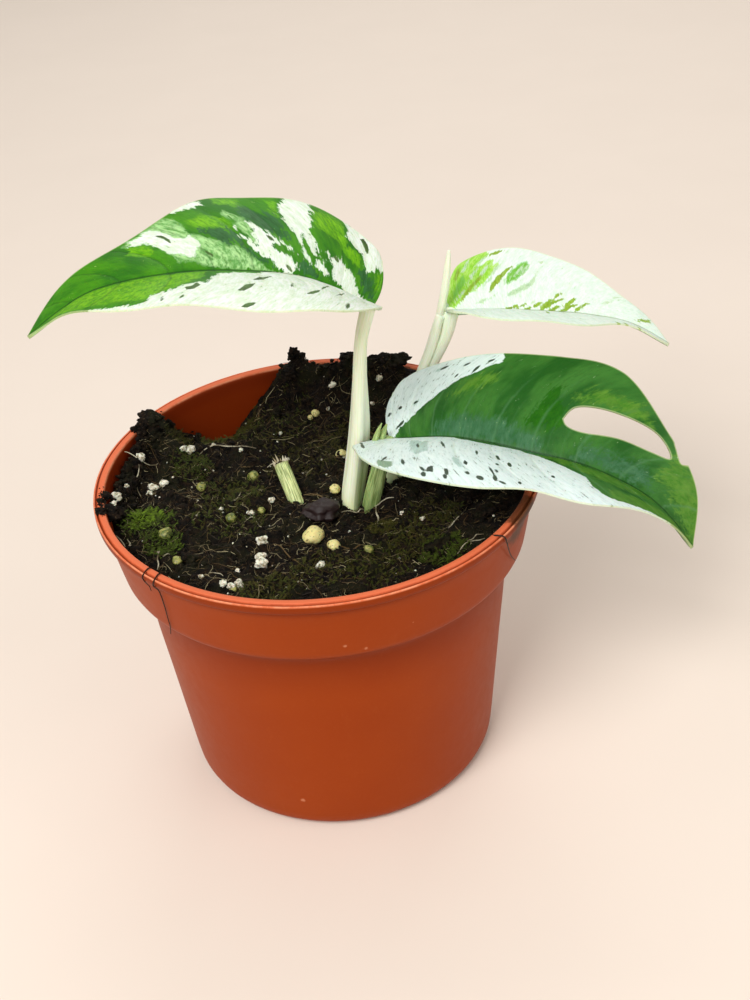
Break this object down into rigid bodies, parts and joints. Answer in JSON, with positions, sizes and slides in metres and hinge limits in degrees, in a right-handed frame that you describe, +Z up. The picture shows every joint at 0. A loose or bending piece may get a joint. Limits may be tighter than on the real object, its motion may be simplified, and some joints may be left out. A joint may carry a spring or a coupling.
{
  "type": "potted marble dragon tail plant",
  "caption": "Young climbing aroid with green and white marbled leaves on pale stalks, standing in dark soil in a round terracotta-coloured plastic nursery pot.",
  "frame": {"origin": "centre of the pot's underside, on the surface it stands on", "axes": "+Z up, -Y towards the pictured side, +X to the right in the picture"},
  "size_m": [0.1652, 0.12, 0.1617],
  "materials": {
    "pot_plastic": "semi-matt terracotta-coloured plastic with fine scuffs",
    "potting_soil": "damp dark peat with perlite, prills, bark and moss",
    "pale_stalk": "smooth pale cream-green stalk, satin",
    "green_stem": "ribbed green stalk, satin",
    "marbled_leaf": "waxy leaf, green, mint and white streaks along the side veins",
    "white_leaf": "waxy leaf, mostly white, lime green near the stalk",
    "deep_green_leaf": "waxy leaf, deep green with white lobes and dark flecks"
  },
  "bodies": {
    "root": {"pot": "pot_plastic", "soil": "potting_soil", "buried_stem": "green_stem", "petiole_left": "pale_stalk", "blade_left": "marbled_leaf", "petiole_upper_right": "pale_stalk", "new_leaf": "pale_stalk", "blade_upper_right": "white_leaf", "petiole_lower_right": "green_stem", "blade_lower_right": "deep_green_leaf", "cut_petiole": "green_stem"}
  },
  "joints": []
}
